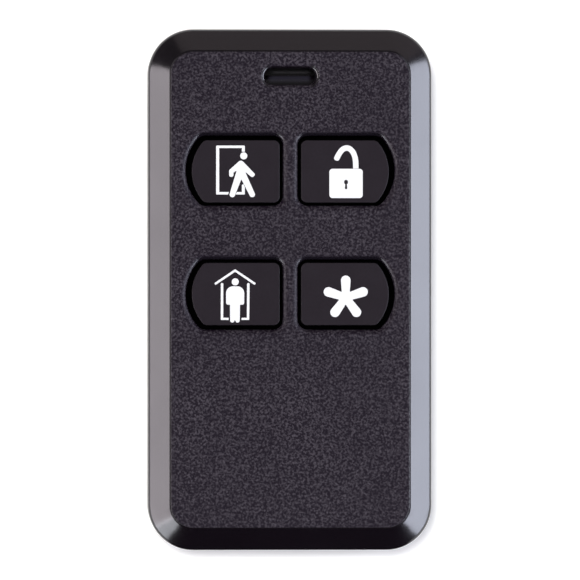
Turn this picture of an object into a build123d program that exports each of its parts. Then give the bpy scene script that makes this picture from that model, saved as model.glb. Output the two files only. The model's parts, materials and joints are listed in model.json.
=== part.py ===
from build123d import *
from math import copysign, radians, sin, sqrt
import os

# An alarm key fob of two plastic covers, four keys and what works behind them.
# It lies on its back: +Z out of the front face, +Y towards the key-ring slot.
# The origin is the middle of the back face. All lengths are in millimetres.

# Case
body_width = 31.7
body_length = 58.2
corner_radius = 5.05
side_wall = 1.5
back_wall = 1.4
face_wall = 1.5
bevel_width = 2.5
bevel_drop = 1.8
bevel_edge_radius = 0.6
shoulder_radius = 0.7
back_edge_radius = 1.2
parting_height = 5.4
parting_groove = 0.15
lip_thickness = 0.7
lip_height = 0.8
lip_gap = 0.08
overrun = 0.5

# Key-ring slot
slot_width = 5.7
slot_height = 1.9
slot_from_end = 5.3
slot_wall = 1.2
slot_rim_radius = 0.5
back_slot_gap = 0.3
slot_ledge_reach = 1.25
slot_step = 1.0
slot_step_radius = 0.5

# Key openings in the face
upper_row_from_board_end = 7.98
row_pitch = 13.83
opening_height = 7.75
opening_centre_bar = 1.76
opening_side_margin = 4.23
opening_bulge = 1.69
opening_inner_corner_radius = 1.05
opening_outer_corner_radius = 1.1
opening_rim_radius = 0.7

# Key caps
key_inner_gap = 0.25
key_outer_gap = 0.56
key_end_gap = 0.335
key_arc_gap = 0.22
key_row_shift = 0.08
key_inner_corner_radius = 0.73
key_outer_corner_radius = 0.8
key_edge_radius = 0.18
key_recess = 0.15
key_plate = 1.45
key_flange_overhang = 0.45
key_flange_thickness = 0.9
key_flange_gap = 0.1
key_travel = 0.25

# Silicone keypad
mat_thickness = 0.7
mat_side_gap = 0.5
mat_boss_gap = 0.3
mat_corner_radius = 1.0
pad_width = 6.2
pad_length = 4.4
pad_corner_radius = 0.8
pad_thickness = 1.7
pad_gap = 0.05
nub_radius = 0.9
nub_proud = 0.2
web_spread = 1.0
web_wall = 0.35

# Ribs of the front cover that clamp the keypad
rib_thickness = 0.8
rib_gap = 0.35

# Tactile switches
switch_side = 4.6
switch_floor = 0.3
switch_well_radius = 1.6
switch_frame_thickness = 0.1
switch_leg_width = 0.8
switch_leg_spacing = 2.8
switch_foot = 0.5
switch_hole_radius = 0.95
stem_radius = 0.8
stem_foot_radius = 1.2
stem_foot_thickness = 0.2
stem_foot_gap = 0.07
stem_proud = 0.2
stem_play = 0.03
dome_radius = 1.45
dome_pressed_height = 0.05
dome_thickness = 0.06

# Circuit board
board_thickness = 0.8
board_gap = 0.4
board_notch_gap = 0.4
board_post_radius = 1.2

# Coin cell and its contacts
cell_diameter = 20.0
cell_thickness = 3.2
cell_from_end = 14.5
cell_metal = 0.25
cell_can_height = 2.9
cell_gasket_width = 0.65
cell_gasket_height = 0.9
cell_gasket_proud = 0.05
cell_cap_skirt = 0.95
cathode_thickness = 1.6
separator_thickness = 0.1
cathode_inset = 1.6
separator_inset = 1.2
lithium_inset = 2.1
cell_guide_gap = 0.35
cell_guide_thickness = 0.9
cell_guide_angle = 40.0
cell_guide_directions = (45.0, 135.0, 225.0, 315.0)
clip_thickness = 0.25
clip_width = 5.0
clip_leg_gap = 0.4
clip_foot_share = 0.42
clip_floor_gap = 0.35
contact_height = 0.3
contact_thickness = 0.12
contact_base_radius = 4.0
contact_tip_radius = 1.6

# Screws that close the case, and their bosses
case_screw_from_side = 4.95
case_screw_from_end = 4.6
case_screw_radius = 0.7
case_screw_length = 6.9
case_screw_head_radius = 1.6
case_screw_head_height = 1.0
case_screw_seat_above_floor = 0.2
case_screw_pilot_gap = 0.02
case_screw_hole_radius = 0.95
case_screw_head_gap = 0.2
case_boss_radius = 2.2
pilot_depth_spare = 0.5

# Screws that hold the board, and their bosses
board_screw_from_side = 5.05
board_screw_radius = 0.6
board_screw_length = 3.4
board_screw_head_radius = 1.25
board_screw_head_height = 0.7
board_screw_gap = 0.15
board_boss_radius = 1.5

# Cross recess and point of each screw, as shares of its head and shank
recess_width_share = 0.2
recess_reach_share = 0.62
recess_depth_share = 0.55
screw_point_share = 0.6

# Snap hooks at the key-ring end
hook_width = 3.5
hook_thickness = 0.9
hook_offset = 8.5
hook_nose = 0.55
hook_nose_height = 1.0
hook_above_parting = 2.6
hook_gap = 0.15
catch_height = 0.7

# Shallow bare panel in the back
panel_width = 17.0
panel_length = 26.0
panel_depth = 0.2
panel_corner_radius = 1.5

# Antenna wire
antenna_wire_radius = 0.4
antenna_bend_radius = 1.1
antenna_rise = 1.5
antenna_from_side = 1.4
antenna_from_end = 6.3
antenna_from_mat = 2.1

# Chips
controller_width = 5.0
controller_length = 4.4
controller_height = 1.0
lead_count = 7
lead_pitch = 0.65
lead_width = 0.25
lead_thickness = 0.15
lead_reach = 0.9
lead_drop = 0.45
chip_lift = 0.1
transmitter_side = 4.0
transmitter_height = 0.85
crystal_width = 3.2
crystal_length = 2.5
crystal_height = 0.75
crystal_corner_radius = 0.3

# Small soldered parts: width, length and height of each kind
capacitor_size = (1.6, 0.8, 0.8)
resistor_size = (1.6, 0.8, 0.45)
inductor_size = (2.0, 1.6, 1.4)

# Places of the small parts, in columns beside the crystal and in rows of one pitch
chips_from_board_end = 7.6
chip_gap = 0.4
small_part_pitch = 1.4
crystal_row_share = 2.2
capacitor_row_shares = {"left": (-2, 2), "controller": (-3.1,), "middle": (-0.6,), "right": (-2, 2)}
resistor_row_shares = {"controller": (3.1,), "middle": (-1.7, 0.4), "transmitter": (-2.6, 2.6)}
inductor_row_shares = {"middle": (-3,), "right": (0,)}

# Heights, stacked from the back face up to the front face
clip_bottom = back_wall + clip_floor_gap
cell_bottom = clip_bottom + clip_thickness
cell_top = cell_bottom + cell_thickness
board_bottom = cell_top + contact_height
board_top = board_bottom + board_thickness
switch_well_bottom = board_top + switch_floor
dome_height = dome_pressed_height + key_travel
dome_top = switch_well_bottom + dome_height
stem_bottom = dome_top + stem_play
stem_foot_top = stem_bottom + stem_foot_thickness
switch_base_top = stem_foot_top + stem_foot_gap
switch_frame_top = switch_base_top + switch_frame_thickness
stem_top = switch_frame_top + stem_proud + key_travel
pad_bottom = stem_top + nub_proud + key_travel
pad_top = pad_bottom + pad_thickness
key_top = pad_top + key_plate
body_thickness = key_top + key_recess
face_inside = body_thickness - face_wall
key_flange_top = face_inside - key_flange_gap
key_bottom = key_flange_top - key_flange_thickness
mat_top = board_top + mat_thickness
rebate_top = parting_height + lip_height + lip_gap
case_screw_seat = back_wall + case_screw_seat_above_floor

# Places along the fob
slot_y = body_length / 2 - slot_from_end
back_slot_y = slot_y + slot_height + back_slot_gap
board_end_y = slot_y - slot_height / 2 - slot_wall - board_gap
upper_row_y = board_end_y - upper_row_from_board_end
lower_row_y = upper_row_y - row_pitch
rows_middle_y = (upper_row_y + lower_row_y) / 2
cell_y = cell_from_end - body_length / 2
board_start_y = side_wall + board_gap - body_length / 2

# Sizes that follow from the values above
opening_inner_x = opening_centre_bar / 2
opening_width = body_width / 2 - opening_side_margin - opening_inner_x
opening_arc_radius = ((opening_height / 2) ** 2 + opening_bulge**2) / (2 * opening_bulge)
key_inner_x = opening_inner_x + key_inner_gap
key_width = opening_width - key_inner_gap - key_outer_gap
key_height = opening_height - 2 * key_end_gap
key_centre_x = key_inner_x + key_width / 2
cavity_half_width = body_width / 2 - side_wall
cavity_half_length = body_length / 2 - side_wall
board_half_width = cavity_half_width - board_gap
rib_reach = opening_height / 2 + key_flange_overhang + rib_gap
mat_start_y = lower_row_y - rib_reach - rib_thickness
mat_end_y = upper_row_y + rib_reach + rib_thickness
cell_radius = cell_diameter / 2
antenna_half_width = board_half_width - antenna_from_side
antenna_start_y = board_start_y + antenna_from_end
antenna_end_y = mat_start_y - antenna_from_mat
chips_y = board_end_y - chips_from_board_end
controller_x = -crystal_width / 2 - chip_gap - controller_width / 2
transmitter_x = crystal_width / 2 + chip_gap + transmitter_side / 2
chip_columns = {
    "left": controller_x - controller_width / 2 - chip_gap - capacitor_size[0] / 2,
    "controller": controller_x,
    "middle": 0,
    "transmitter": transmitter_x,
    "right": transmitter_x + transmitter_side / 2 + chip_gap + inductor_size[0] / 2,
}

keys = {
    "arm_away": (-1, upper_row_y),
    "disarm": (1, upper_row_y),
    "arm_stay": (-1, lower_row_y),
    "auxiliary": (1, lower_row_y),
}


def slab(outline, bottom, top):
    """The flat outline, made solid from one height to another."""
    return extrude(Pos(0, 0, bottom) * outline, amount=top - bottom)


def rod(radius, bottom, top, x=0, y=0):
    """An upright cylinder between two heights."""
    return Pos(x, y, 0) * slab(Circle(radius), bottom, top)


def block(x_range, y_range, z_range):
    """A box given by where it starts and ends along each axis."""
    size = [end - start for start, end in (x_range, y_range, z_range)]
    middle = [(start + end) / 2 for start, end in (x_range, y_range, z_range)]
    return Pos(*middle) * Box(*size)


def both_sides(x, y):
    """A place on the right half of the fob and its mirror image."""
    return [(x, y), (-x, y)]


def at_key(shape, key):
    """A shape made for the right column, moved to the row of a key and mirrored for the left column."""
    side, row_y = keys[key]
    placed = Pos(0, row_y, 0) * shape
    return placed if side > 0 else mirror(placed, about=Plane.YZ)


def case_outline(inset):
    """Outline of the case, drawn in by an inset all round."""
    return RectangleRounded(body_width - 2 * inset, body_length - 2 * inset, corner_radius - inset)


def d_outline(inner_x, width, height, arc_radius, inner_corner, outer_corner):
    """D shape: straight towards the middle of the fob, and bulging on an arc towards its side."""
    half = height / 2
    bulge = arc_radius - sqrt(arc_radius**2 - half**2)
    outer_x = inner_x + width
    upper = (outer_x - bulge, half)
    lower = (outer_x - bulge, -half)
    straight = Polyline(lower, (inner_x, -half), (inner_x, half), upper)
    face = make_face(straight + ThreePointArc(upper, (outer_x, 0), lower))
    face = fillet(face.vertices().sort_by(Axis.X)[:2], inner_corner)
    return fillet(face.vertices().sort_by(Axis.X)[-2:], outer_corner)


def opening_outline(grow=0):
    """Outline of a key opening in the right column, or one that is larger all round."""
    return d_outline(
        opening_inner_x - grow,
        opening_width + 2 * grow,
        opening_height + 2 * grow,
        opening_arc_radius + grow,
        opening_inner_corner_radius + grow,
        opening_outer_corner_radius + grow,
    )


def slot_outline(middle_y):
    """Stadium outline of the key-ring slot, either in the face or in the back."""
    return Pos(0, middle_y) * SlotOverall(slot_width, slot_height)


def passage_outline(grow=0):
    """Outline of the passage from the slot in the face to the one in the back, nearer the end."""
    length = back_slot_y - slot_y + slot_height + 2 * grow
    outline = RectangleRounded(slot_width + 2 * grow, length, slot_height / 2 + grow)
    return Pos(0, (slot_y + back_slot_y) / 2) * outline


def edges_at(shape, height):
    """Edges that lie level at a height."""
    return shape.edges().filter_by_position(Axis.Z, height, height)


def hole_edges(face):
    """Edges of all holes in a face."""
    return [edge for wire in face.inner_wires() for edge in wire.edges()]


case_screw_places = both_sides(
    body_width / 2 - case_screw_from_side, case_screw_from_end - body_length / 2
)
board_screw_places = both_sides(
    body_width / 2 - board_screw_from_side, upper_row_y + rib_reach + board_boss_radius
)
rib_places = [
    rows_middle_y,
    mat_end_y - rib_thickness / 2,
    mat_start_y + rib_thickness / 2,
]
case_pilot_top = case_screw_seat + case_screw_length + pilot_depth_spare
board_pilot_top = board_bottom + board_screw_length + pilot_depth_spare


def front_shell():
    """Bevelled tray of the front cover, open at the back."""
    shell = slab(case_outline(0), parting_height, body_thickness)
    top = shell.faces().sort_by(Axis.Z)[-1]
    shell = chamfer(top.edges(), bevel_width, bevel_drop, reference=top)
    shell = fillet(edges_at(shell, body_thickness - bevel_drop), shoulder_radius)
    shell = fillet(shell.faces().sort_by(Axis.Z)[-1].edges(), bevel_edge_radius)
    shell = chamfer(edges_at(shell, parting_height), parting_groove)
    hollow = slab(case_outline(side_wall), parting_height - overrun, face_inside)
    hollow = chamfer(hollow.faces().sort_by(Axis.Z)[-1].edges(), bevel_width - side_wall / 2)
    rebate = slab(case_outline(side_wall - lip_thickness - lip_gap), parting_height - overrun, rebate_top)
    return shell - hollow - rebate


def front_cover():
    """Front cover with key openings, slot, clamping ribs, screw bosses and snap ledges."""
    cover = front_shell()
    for key in keys:
        cover -= at_key(slab(opening_outline(), face_inside - overrun, body_thickness + overrun), key)
    cover = fillet(hole_edges(cover.faces().sort_by(Axis.Z)[-1]), opening_rim_radius)
    room = slab(case_outline(side_wall + lip_gap), parting_height, rebate_top)
    room += slab(case_outline(side_wall), rebate_top, face_inside)
    cover += slab(passage_outline(slot_wall), parting_height, face_inside) & room
    cover -= slab(passage_outline(), parting_height - overrun, face_inside)
    cover -= slab(slot_outline(slot_y), parting_height, body_thickness + overrun)
    slot_rim = cover.faces().sort_by(Axis.Z)[-1].inner_wires().sort_by(Axis.Y)[-1]
    cover = fillet(slot_rim.edges(), slot_rim_radius)
    for rib_y in rib_places:
        cover += block(
            (-cavity_half_width, cavity_half_width),
            (rib_y - rib_thickness / 2, rib_y + rib_thickness / 2),
            (mat_top, face_inside),
        )
    for x, y in case_screw_places:
        cover += rod(case_boss_radius, parting_height, face_inside, x, y)
        cover -= rod(case_screw_radius + case_screw_pilot_gap, parting_height, case_pilot_top, x, y)
    for x, y in board_screw_places:
        cover += rod(board_boss_radius, board_top, face_inside, x, y)
        cover -= rod(board_screw_radius + case_screw_pilot_gap, board_top, board_pilot_top, x, y)
    nose_bottom = parting_height + hook_above_parting - hook_nose_height
    for x, y in both_sides(hook_offset, cavity_half_length):
        cover += block(
            (x - hook_width / 2, x + hook_width / 2),
            (y - hook_nose, y),
            (nose_bottom - hook_gap - catch_height, nose_bottom - hook_gap),
        )
    return cover


def back_cover():
    """Back cover: tray with the back of the slot's passage, board posts, cell guides, bosses and hooks."""
    tray = slab(case_outline(0), 0, parting_height)
    tray = fillet(edges_at(tray, 0), back_edge_radius)
    tray = chamfer(edges_at(tray, parting_height), parting_groove)
    tray -= slab(case_outline(side_wall), back_wall, parting_height + overrun)
    lip = slab(case_outline(side_wall - lip_thickness), back_wall, parting_height + lip_height)
    tray += lip - slab(case_outline(side_wall), back_wall, parting_height + lip_height + overrun)
    tray += slab(passage_outline(slot_wall), back_wall, parting_height)
    tray -= slab(slot_outline(back_slot_y), -overrun, parting_height + overrun)
    tray = fillet(hole_edges(tray.faces().sort_by(Axis.Z)[0]), slot_rim_radius)
    tray -= slab(passage_outline(), parting_height - slot_step, parting_height + overrun) - slot_ledge()
    post_x = board_half_width - board_post_radius
    for key in keys:
        tray += at_key(rod(board_post_radius, back_wall, board_bottom, post_x), key)
    guide_radius = cell_radius + cell_guide_gap
    guide = rod(guide_radius + cell_guide_thickness, back_wall, board_bottom)
    guide -= rod(guide_radius, back_wall - overrun, board_bottom + overrun)
    reach = guide_radius + cell_guide_thickness + overrun
    half = radians(cell_guide_angle / 2)
    wedge = make_face(
        Polyline((0, 0), (reach, -reach * sin(half)), (reach, reach * sin(half)), (0, 0))
    )
    for direction in cell_guide_directions:
        turn = Rot(0, 0, direction)
        arc = guide & (turn * slab(wedge, back_wall - overrun, board_bottom + overrun))
        tray += Pos(0, cell_y, 0) * arc
    for x, y in case_screw_places:
        tray += rod(case_boss_radius, back_wall, parting_height, x, y)
        tray -= rod(case_screw_hole_radius, case_screw_seat, parting_height + overrun, x, y)
        tray -= rod(case_screw_head_radius + case_screw_head_gap, -overrun, case_screw_seat, x, y)
    for x, y in both_sides(hook_offset, cavity_half_length - hook_nose - hook_gap):
        tray += snap_hook(x, y)
    panel = RectangleRounded(panel_width, panel_length, panel_corner_radius)
    return tray - slab(panel, -overrun, panel_depth)


def slot_ledge():
    """Round-edged ledge under part of the slot in the face, which leads a cord towards the back slot."""
    start = slot_y - slot_height / 2
    ledge = block(
        (-slot_width / 2, slot_width / 2), (start, start + slot_ledge_reach), (back_wall, parting_height)
    )
    edge = edges_at(ledge, parting_height).sort_by(Axis.Y)[-1]
    return fillet(edge, slot_step_radius)


def snap_hook(x, y):
    """Springy arm that rises from the back, with a nose that catches over a ledge of the front cover."""
    top = parting_height + hook_above_parting
    arm = block(
        (x - hook_width / 2, x + hook_width / 2), (y - hook_thickness, y), (back_wall, top)
    )
    nose = make_face(
        Polyline((y, top), (y, top - hook_nose_height), (y + hook_nose, top - hook_nose_height), (y, top))
    )
    wedge = extrude(Plane.YZ * nose, amount=hook_width)
    return arm + Pos(x - hook_width / 2, 0, 0) * wedge


def button(key):
    """Key cap: D-shaped top, a flange that stops it in the cover, and a pocket for the silicone pad.

    The top stands a little nearer to the other row than the middle of its opening.
    """
    row_y = keys[key][1]
    top = slab(
        Pos(0, copysign(key_row_shift, rows_middle_y - row_y))
        * d_outline(
            key_inner_x,
            key_width,
            key_height,
            opening_arc_radius - key_arc_gap,
            key_inner_corner_radius,
            key_outer_corner_radius,
        ),
        key_bottom,
        key_top,
    )
    top = fillet(top.faces().sort_by(Axis.Z)[-1].edges(), key_edge_radius)
    flange = slab(opening_outline(key_flange_overhang), key_bottom, key_flange_top)
    pocket = Pos(key_centre_x, 0, 0) * slab(
        RectangleRounded(pad_width + 2 * pad_gap, pad_length + 2 * pad_gap, pad_corner_radius),
        key_bottom - overrun,
        pad_top,
    )
    return top + flange - pocket


def keypad_mat():
    """Still sheet of the silicone keypad, with a window round each switch and round each boss."""
    half_width = cavity_half_width - mat_side_gap
    outline = RectangleRounded(2 * half_width, mat_end_y - mat_start_y, mat_corner_radius)
    sheet = Pos(0, (mat_start_y + mat_end_y) / 2, 0) * slab(outline, board_top, mat_top)
    for key in keys:
        sheet -= at_key(slab(window_outline(), board_top - overrun, mat_top + overrun), key)
    for x, y in board_screw_places:
        sheet -= rod(board_boss_radius + mat_boss_gap, board_top - overrun, mat_top + overrun, x, y)
    return sheet


def window_outline(grow=0):
    """Outline of the window under a key, wider than its pad by the spread of the bending skirt."""
    return Pos(key_centre_x, 0) * RectangleRounded(
        pad_width + 2 * web_spread + 2 * grow,
        pad_length + 2 * web_spread + 2 * grow,
        pad_corner_radius + web_spread / 2 + grow,
    )


def pad_outline(grow=0):
    """Outline of a keypad pad in the right column."""
    return Pos(key_centre_x, 0) * RectangleRounded(
        pad_width + 2 * grow, pad_length + 2 * grow, pad_corner_radius + grow
    )


def keypad_web():
    """Thin sloping skirt from the sheet up to the pad, which folds as the key goes down."""
    outside = loft([Pos(0, 0, mat_top) * window_outline(web_wall), Pos(0, 0, pad_bottom) * pad_outline()])
    inside = loft([Pos(0, 0, mat_top) * window_outline(), Pos(0, 0, pad_bottom) * pad_outline(-web_wall)])
    return outside - inside


def keypad_pad():
    """Raised pad in the key's pocket, with the nub that rests on the switch stem."""
    nub = rod(nub_radius, stem_top, pad_bottom, key_centre_x)
    return slab(pad_outline(), pad_bottom, pad_top) + nub


def switch_base():
    """Plastic base of a tactile switch, with a round well for the dome."""
    half = switch_side / 2
    base = block((-half, half), (-half, half), (board_top, switch_base_top))
    base -= rod(switch_well_radius, switch_well_bottom, switch_base_top + overrun)
    return Pos(key_centre_x, 0, 0) * base


def switch_frame():
    """Metal frame over the base, with a hole for the stem and four legs soldered to the board."""
    half = switch_side / 2
    frame = block((-half, half), (-half, half), (switch_base_top, switch_frame_top))
    frame -= rod(switch_hole_radius, switch_base_top - overrun, switch_frame_top + overrun)
    for side in (-1, 1):
        for leg_y in (-switch_leg_spacing / 2, switch_leg_spacing / 2):
            inner, outer = side * half, side * (half + switch_frame_thickness)
            y_range = (leg_y - switch_leg_width / 2, leg_y + switch_leg_width / 2)
            frame += block(sorted((inner, outer)), y_range, (board_top, switch_frame_top))
            toe = side * (half + switch_foot)
            frame += block(sorted((inner, toe)), y_range, (board_top, board_top + switch_frame_thickness))
    return Pos(key_centre_x, 0, 0) * frame


def switch_dome():
    """Snap dome: a shallow cap of a sphere, cut from two spheres."""
    sphere_radius = (dome_radius**2 + dome_height**2) / (2 * dome_height)
    centre_z = dome_top - sphere_radius
    shell = Pos(0, 0, centre_z) * (Sphere(sphere_radius) - Sphere(sphere_radius - dome_thickness))
    reach = dome_radius + overrun
    keep = block((-reach, reach), (-reach, reach), (switch_well_bottom, dome_top + overrun))
    return Pos(key_centre_x, 0, 0) * (shell & keep)


def switch_stem():
    """Stem that passes the nub's push to the dome, with a foot that keeps it under the frame."""
    foot = rod(stem_foot_radius, stem_bottom, stem_bottom + stem_foot_thickness)
    return Pos(key_centre_x, 0, 0) * (foot + rod(stem_radius, stem_bottom, stem_top))


def circuit_board():
    """Board that fills the case below the slot, notched round the case bosses."""
    width = 2 * board_half_width
    length = board_end_y - board_start_y
    outline = RectangleRounded(width, length, corner_radius - side_wall - board_gap)
    board = Pos(0, (board_start_y + board_end_y) / 2, 0) * slab(outline, board_bottom, board_top)
    for x, y in case_screw_places:
        outward = x / abs(x)
        notch = rod(case_boss_radius + board_notch_gap, board_bottom - overrun, board_top + overrun, x, y)
        corner = block(
            sorted((x, outward * body_width / 2)),
            (-body_length / 2, y + case_boss_radius + board_notch_gap),
            (board_bottom - overrun, board_top + overrun),
        )
        side_corner = block(
            sorted((x - outward * (case_boss_radius + board_notch_gap), outward * body_width / 2)),
            (-body_length / 2, y),
            (board_bottom - overrun, board_top + overrun),
        )
        board -= notch + corner + side_corner
    for x, y in board_screw_places:
        board -= rod(
            board_screw_radius + board_screw_gap, board_bottom - overrun, board_top + overrun, x, y
        )
    return board


def coin_cell():
    """The cell's own pieces, from its can at the back to its cap against the board."""
    can_top = cell_bottom + cell_can_height
    inner_radius = cell_radius - cell_metal
    cap_radius = inner_radius - cell_gasket_width
    can = rod(cell_radius, cell_bottom, can_top)
    can = fillet(can.faces().sort_by(Axis.Z)[0].edges(), cell_metal)
    can -= rod(inner_radius, cell_bottom + cell_metal, can_top + overrun)
    gasket_bottom = can_top - cell_gasket_height
    gasket = rod(inner_radius, gasket_bottom, can_top + cell_gasket_proud)
    gasket -= rod(cap_radius, gasket_bottom - overrun, can_top + overrun)
    cap_bottom = cell_top - cell_cap_skirt
    cap = rod(cap_radius, cap_bottom, cell_top)
    cap = fillet(cap.faces().sort_by(Axis.Z)[-1].edges(), cell_metal)
    cap -= rod(cap_radius - cell_metal, cap_bottom - overrun, cell_top - cell_metal)
    cathode_bottom = cell_bottom + cell_metal
    cathode_top = cathode_bottom + cathode_thickness
    separator_top = cathode_top + separator_thickness
    stack = {
        "can": can,
        "gasket": gasket,
        "cathode": rod(inner_radius - cathode_inset, cathode_bottom, cathode_top),
        "separator": rod(inner_radius - separator_inset, cathode_top, separator_top),
        "lithium": rod(inner_radius - lithium_inset, separator_top, cell_top - cell_metal),
        "cap": cap,
    }
    return {name: Pos(0, cell_y, 0) * piece for name, piece in stack.items()}


def battery_clip():
    """Positive strap that passes behind the cell and is soldered to the board on both sides."""
    leg_inner = cell_radius + clip_leg_gap
    leg_outer = leg_inner + clip_thickness
    toe = leg_outer + clip_foot_share * (board_half_width - leg_outer)
    y_range = (cell_y - clip_width / 2, cell_y + clip_width / 2)
    clip = block((-leg_outer, leg_outer), y_range, (clip_bottom, cell_bottom))
    for side in (-1, 1):
        leg = sorted((side * leg_inner, side * leg_outer))
        foot = sorted((side * leg_inner, side * toe))
        clip += block(leg, y_range, (clip_bottom, board_bottom))
        clip += block(foot, y_range, (board_bottom - clip_thickness, board_bottom))
    return clip


def battery_contact():
    """Dished negative contact between the cell's cap and the board."""
    above_base = (Align.CENTER, Align.CENTER, Align.MIN)
    dish = Cone(contact_tip_radius, contact_base_radius, contact_height, align=above_base)
    return Pos(0, cell_y, cell_top) * (dish - Pos(0, 0, contact_thickness) * dish)


def antenna_loop():
    """Wire that stands on the board and runs round its lower half, behind the blank part of the face."""
    wire_z = board_top + antenna_rise
    x = antenna_half_width
    path = FilletPolyline(
        (-x, antenna_end_y, board_top),
        (-x, antenna_end_y, wire_z),
        (-x, antenna_start_y, wire_z),
        (x, antenna_start_y, wire_z),
        (x, antenna_end_y, wire_z),
        (x, antenna_end_y, board_top),
        radius=antenna_bend_radius,
    )
    return sweep(Plane(path @ 0, z_dir=path % 0) * Circle(antenna_wire_radius), path=path)


def chip(size, column, row_share=0, lift=0):
    """A plain block soldered to the back of the board, in a column and at a share of the row pitch."""
    width, length, height = size
    x = chip_columns[column]
    y = chips_y + row_share * small_part_pitch
    return block(
        (x - width / 2, x + width / 2),
        (y - length / 2, y + length / 2),
        (board_bottom - lift - height, board_bottom - lift),
    )


def microcontroller_leads():
    """Bent leads along both long sides of the microcontroller, each a tread, a riser and a foot."""
    level = board_bottom - lead_drop
    leads = []
    for side in (-1, 1):
        body_edge = chips_y + side * controller_length / 2
        knee = body_edge + side * lead_reach / 2
        riser = sorted((knee - side * lead_thickness, knee))
        toe = body_edge + side * lead_reach
        for index in range(lead_count):
            lead_x = controller_x + (index - (lead_count - 1) / 2) * lead_pitch
            x_range = (lead_x - lead_width / 2, lead_x + lead_width / 2)
            tread = block(x_range, sorted((body_edge, knee)), (level, level + lead_thickness))
            post = block(x_range, riser, (level, board_bottom))
            foot = block(x_range, sorted((riser[0], toe)), (board_bottom - lead_thickness, board_bottom))
            leads.append(tread + post + foot)
    return Compound(leads)


def small_parts(size, row_shares):
    """Every part of one kind, in its columns on the board."""
    return Compound([chip(size, column, share) for column, shares in row_shares.items() for share in shares])


def screw(head_radius, head_height, shank_radius, length):
    """Pan-headed screw that points up from the seat of its head, with a cross recess below."""
    head = fillet(rod(head_radius, -head_height, 0).faces().sort_by(Axis.Z)[0].edges(), head_height / 2)
    shank = rod(shank_radius, 0, length)
    shank = chamfer(shank.faces().sort_by(Axis.Z)[-1].edges(), shank_radius * screw_point_share)
    reach = head_radius * recess_reach_share
    width = head_radius * recess_width_share
    depth = (-head_height - overrun, head_height * (recess_depth_share - 1))
    cross = block((-reach, reach), (-width, width), depth) + block((-width, width), (-reach, reach), depth)
    return head + shank - cross


def screws_at(places, seat, fastener):
    """The same screw at each place, with its head against the seat."""
    return Compound([Pos(x, y, seat) * fastener for x, y in places])


def pieces():
    """Every piece of the fob by name."""
    found = {"front_cover": front_cover(), "back_cover": back_cover(), "keypad_mat": keypad_mat()}
    for key in keys:
        found[f"button_{key}"] = at_key(button(key), key)
    made_for_each_key = {
        "keypad_web": keypad_web(),
        "keypad_pad": keypad_pad(),
        "switch_base": switch_base(),
        "switch_frame": switch_frame(),
        "switch_dome": switch_dome(),
        "switch_stem": switch_stem(),
    }
    for kind, shape in made_for_each_key.items():
        for key in keys:
            found[f"{kind}_{key}"] = at_key(shape, key)
    for name, shape in coin_cell().items():
        found[f"coin_cell_{name}"] = shape
    found["circuit_board"] = circuit_board()
    found["battery_clip"] = battery_clip()
    found["battery_contact"] = battery_contact()
    found["antenna_loop"] = antenna_loop()
    controller_size = (controller_width, controller_length, controller_height)
    found["microcontroller_body"] = chip(controller_size, "controller", lift=chip_lift)
    found["microcontroller_leads"] = microcontroller_leads()
    transmitter_size = (transmitter_side, transmitter_side, transmitter_height)
    found["transmitter_chip"] = chip(transmitter_size, "transmitter")
    crystal = chip((crystal_width, crystal_length, crystal_height), "middle", crystal_row_share)
    found["crystal_can"] = fillet(crystal.edges().filter_by(Axis.Z), crystal_corner_radius)
    found["capacitors"] = small_parts(capacitor_size, capacitor_row_shares)
    found["resistors"] = small_parts(resistor_size, resistor_row_shares)
    found["inductors"] = small_parts(inductor_size, inductor_row_shares)
    found["case_screws"] = screws_at(
        case_screw_places,
        case_screw_seat,
        screw(case_screw_head_radius, case_screw_head_height, case_screw_radius, case_screw_length),
    )
    found["board_screws"] = screws_at(
        board_screw_places,
        board_bottom,
        screw(board_screw_head_radius, board_screw_head_height, board_screw_radius, board_screw_length),
    )
    return found


os.makedirs("parts", exist_ok=True)
for name, shape in pieces().items():
    export_step(shape, f"parts/{name}.step")
print(f"case {body_width} x {body_length} x {body_thickness:.2f} mm, key travel {key_travel} mm")
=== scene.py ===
"""Looks of an alarm key fob: grained covers, satin keys with printed pictograms, and the parts inside.

All lengths are in metres. The fob lies on its back: +Z out of the front face, +Y towards the key-ring slot.
"""

import json
import logging
import math
from dataclasses import dataclass, field
from enum import Enum

import bpy
import numpy as np
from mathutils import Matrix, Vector


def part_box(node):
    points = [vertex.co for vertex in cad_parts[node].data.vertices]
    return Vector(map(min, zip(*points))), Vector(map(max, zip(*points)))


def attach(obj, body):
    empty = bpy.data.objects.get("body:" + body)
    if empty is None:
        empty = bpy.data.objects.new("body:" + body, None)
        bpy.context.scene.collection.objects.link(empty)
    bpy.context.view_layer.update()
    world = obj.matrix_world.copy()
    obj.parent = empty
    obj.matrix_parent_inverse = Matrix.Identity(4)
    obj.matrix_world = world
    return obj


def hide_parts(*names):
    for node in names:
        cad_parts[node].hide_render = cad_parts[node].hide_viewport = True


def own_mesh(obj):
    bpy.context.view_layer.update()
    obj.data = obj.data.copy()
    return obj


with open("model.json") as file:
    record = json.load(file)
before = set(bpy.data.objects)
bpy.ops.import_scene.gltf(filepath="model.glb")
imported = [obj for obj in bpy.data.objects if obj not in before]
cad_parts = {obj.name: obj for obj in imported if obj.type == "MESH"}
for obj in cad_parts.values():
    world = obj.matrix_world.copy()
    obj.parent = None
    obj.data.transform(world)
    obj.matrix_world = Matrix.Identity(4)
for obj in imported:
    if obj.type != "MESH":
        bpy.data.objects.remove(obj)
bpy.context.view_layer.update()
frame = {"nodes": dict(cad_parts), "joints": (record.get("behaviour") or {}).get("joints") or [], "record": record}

logging.basicConfig(level=logging.INFO, format="%(name)s: %(message)s")
log = logging.getLogger("fob")

MILLIMETRE = 0.001

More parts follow.
